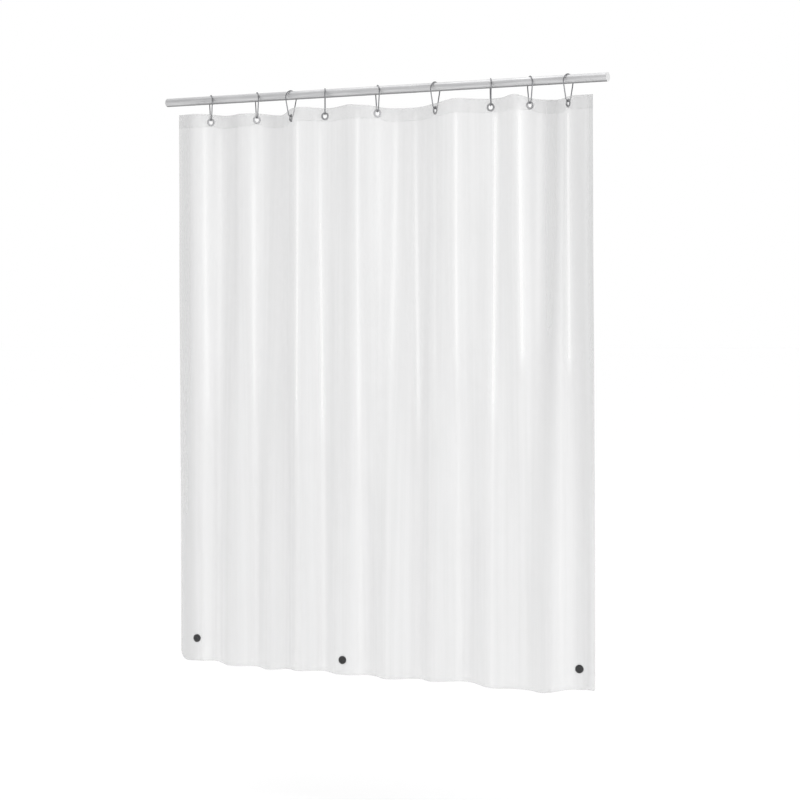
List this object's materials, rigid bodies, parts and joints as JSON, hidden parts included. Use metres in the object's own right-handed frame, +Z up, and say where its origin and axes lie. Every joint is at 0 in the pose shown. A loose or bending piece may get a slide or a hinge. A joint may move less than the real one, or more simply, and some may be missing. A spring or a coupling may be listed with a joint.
{
  "type": "shower curtain",
  "caption": "Frosted film shower curtain hung by wire rings and metal eyelets from a straight round rod, with black magnets above its bottom edge.",
  "frame": {"origin": "middle of the rod's left end face", "axes": "+X along the rod to the right, +Z up, -Y towards the front of the curtain"},
  "size_m": [1.581, 0.0793, 1.8917],
  "materials": {
    "rod_steel": "bright, satin sheen",
    "plug_plastic": "plain",
    "ring_steel": "bright plated wire",
    "grommet_steel": "pressed and polished",
    "film": "frosted, see-through, glossy",
    "header_film": "doubled, welded at its edges",
    "black_plastic": "satin",
    "ferrite": "dull"
  },
  "bodies": {
    "rod": {"rod_tube": "rod_steel", "rod_plug_left": "plug_plastic", "rod_plug_right": "plug_plastic"},
    "ring_1": {"ring_1": "ring_steel"},
    "ring_2": {"ring_2": "ring_steel"},
    "ring_3": {"ring_3": "ring_steel"},
    "ring_4": {"ring_4": "ring_steel"},
    "ring_5": {"ring_5": "ring_steel"},
    "ring_6": {"ring_6": "ring_steel"},
    "ring_7": {"ring_7": "ring_steel"},
    "ring_8": {"ring_8": "ring_steel"},
    "ring_9": {"ring_9": "ring_steel"},
    "curtain": {"sheet": "film", "header_band": "header_film", "grommet_front_1": "grommet_steel", "grommet_back_1": "grommet_steel"},
    "grommet_2": {"grommet_front_2": "grommet_steel", "grommet_back_2": "grommet_steel"},
    "grommet_3": {"grommet_front_3": "grommet_steel", "grommet_back_3": "grommet_steel"},
    "grommet_4": {"grommet_front_4": "grommet_steel", "grommet_back_4": "grommet_steel"},
    "grommet_5": {"grommet_front_5": "grommet_steel", "grommet_back_5": "grommet_steel"},
    "grommet_6": {"grommet_front_6": "grommet_steel", "grommet_back_6": "grommet_steel"},
    "grommet_7": {"grommet_front_7": "grommet_steel", "grommet_back_7": "grommet_steel"},
    "grommet_8": {"grommet_front_8": "grommet_steel", "grommet_back_8": "grommet_steel"},
    "grommet_9": {"grommet_front_9": "grommet_steel", "grommet_back_9": "grommet_steel"},
    "magnet_1": {"magnet_cup_1": "black_plastic", "magnet_core_1": "ferrite", "magnet_back_1": "black_plastic"},
    "magnet_2": {"magnet_cup_2": "black_plastic", "magnet_core_2": "ferrite", "magnet_back_2": "black_plastic"},
    "magnet_3": {"magnet_cup_3": "black_plastic", "magnet_core_3": "ferrite", "magnet_back_3": "black_plastic"}
  },
  "joints": [
    {"name": "curtain_draw", "type": "slide", "parent": "rod", "child": "ring_9", "axis": [-1, 0, 0], "range_m": [0, 0.84], "deforming": ["sheet", "header_band"]},
    {"name": "ring_8_draw", "type": "slide", "parent": "rod", "child": "ring_8", "axis": [-1, 0, 0], "range_m": [0, 0.76381]},
    {"name": "ring_7_draw", "type": "slide", "parent": "rod", "child": "ring_7", "axis": [-1, 0, 0], "range_m": [0, 0.6843]},
    {"name": "ring_6_draw", "type": "slide", "parent": "rod", "child": "ring_6", "axis": [-1, 0, 0], "range_m": [0, 0.56943]},
    {"name": "ring_5_draw", "type": "slide", "parent": "rod", "child": "ring_5", "axis": [-1, 0, 0], "range_m": [0, 0.44677]},
    {"name": "ring_4_draw", "type": "slide", "parent": "rod", "child": "ring_4", "axis": [-1, 0, 0], "range_m": [0, 0.33217]},
    {"name": "ring_3_draw", "type": "slide", "parent": "rod", "child": "ring_3", "axis": [-1, 0, 0], "range_m": [0, 0.25625]},
    {"name": "ring_2_draw", "type": "slide", "parent": "rod", "child": "ring_2", "axis": [-1, 0, 0], "range_m": [0, 0.17925]},
    {"name": "ring_1_draw", "type": "slide", "parent": "rod", "child": "ring_1", "axis": [-1, 0, 0], "range_m": [0, 0.07297]},
    {"name": "curtain_swing", "type": "hinge", "parent": "ring_1", "child": "curtain", "pos_m": [0.17252, 0, -0.0689], "axis": [1, 0, 0], "range_deg": [-12, 12]},
    {"name": "grommet_2_swing", "type": "hinge", "parent": "ring_2", "child": "grommet_2", "pos_m": [0.3495, 0, -0.0689], "axis": [1, 0, 0], "range_deg": [-12, 12]},
    {"name": "grommet_3_swing", "type": "hinge", "parent": "ring_3", "child": "grommet_3", "pos_m": [0.47772, 0, -0.0689], "axis": [1, 0, 0], "range_deg": [-12, 12]},
    {"name": "grommet_4_swing", "type": "hinge", "parent": "ring_4", "child": "grommet_4", "pos_m": [0.60416, 0, -0.0689], "axis": [1, 0, 0], "range_deg": [-12, 12]},
    {"name": "grommet_5_swing", "type": "hinge", "parent": "ring_5", "child": "grommet_5", "pos_m": [0.79501, 0, -0.0689], "axis": [1, 0, 0], "range_deg": [-12, 12]},
    {"name": "grommet_6_swing", "type": "hinge", "parent": "ring_6", "child": "grommet_6", "pos_m": [0.99928, 0, -0.0689], "axis": [1, 0, 0], "range_deg": [-12, 12]},
    {"name": "grommet_7_swing", "type": "hinge", "parent": "ring_7", "child": "grommet_7", "pos_m": [1.19057, 0, -0.0689], "axis": [1, 0, 0], "range_deg": [-12, 12]},
    {"name": "grommet_8_swing", "type": "hinge", "parent": "ring_8", "child": "grommet_8", "pos_m": [1.32297, 0, -0.0689], "axis": [1, 0, 0], "range_deg": [-12, 12]},
    {"name": "grommet_9_swing", "type": "hinge", "parent": "ring_9", "child": "grommet_9", "pos_m": [1.44986, 0, -0.0689], "axis": [1, 0, 0], "range_deg": [-12, 12]},
    {"name": "magnet_1_draw", "type": "slide", "parent": "curtain", "child": "magnet_1", "axis": [-1, 0, 0], "range_m": [-0.02552, 0]},
    {"name": "magnet_2_draw", "type": "slide", "parent": "curtain", "child": "magnet_2", "axis": [-1, 0, 0], "range_m": [0, 0.30352]},
    {"name": "magnet_3_draw", "type": "slide", "parent": "curtain", "child": "magnet_3", "axis": [-1, 0, 0], "range_m": [0, 0.78512]}
  ],
  "couplings": [
    {"joint": "ring_8_draw", "follows": "curtain_draw", "ratio": 0.90929},
    {"joint": "ring_7_draw", "follows": "curtain_draw", "ratio": 0.81464},
    {"joint": "ring_6_draw", "follows": "curtain_draw", "ratio": 0.67789},
    {"joint": "ring_5_draw", "follows": "curtain_draw", "ratio": 0.53187},
    {"joint": "ring_4_draw", "follows": "curtain_draw", "ratio": 0.39544},
    {"joint": "ring_3_draw", "follows": "curtain_draw", "ratio": 0.30505},
    {"joint": "ring_2_draw", "follows": "curtain_draw", "ratio": 0.21339},
    {"joint": "ring_1_draw", "follows": "curtain_draw", "ratio": 0.086868},
    {"joint": "grommet_2_swing", "follows": "curtain_swing", "ratio": 1},
    {"joint": "grommet_3_swing", "follows": "curtain_swing", "ratio": 1},
    {"joint": "grommet_4_swing", "follows": "curtain_swing", "ratio": 1},
    {"joint": "grommet_5_swing", "follows": "curtain_swing", "ratio": 1},
    {"joint": "grommet_6_swing", "follows": "curtain_swing", "ratio": 1},
    {"joint": "grommet_7_swing", "follows": "curtain_swing", "ratio": 1},
    {"joint": "grommet_8_swing", "follows": "curtain_swing", "ratio": 1},
    {"joint": "grommet_9_swing", "follows": "curtain_swing", "ratio": 1},
    {"joint": "magnet_1_draw", "follows": "curtain_draw", "ratio": -0.030377},
    {"joint": "magnet_2_draw", "follows": "curtain_draw", "ratio": 0.36133},
    {"joint": "magnet_3_draw", "follows": "curtain_draw", "ratio": 0.93466}
  ]
}
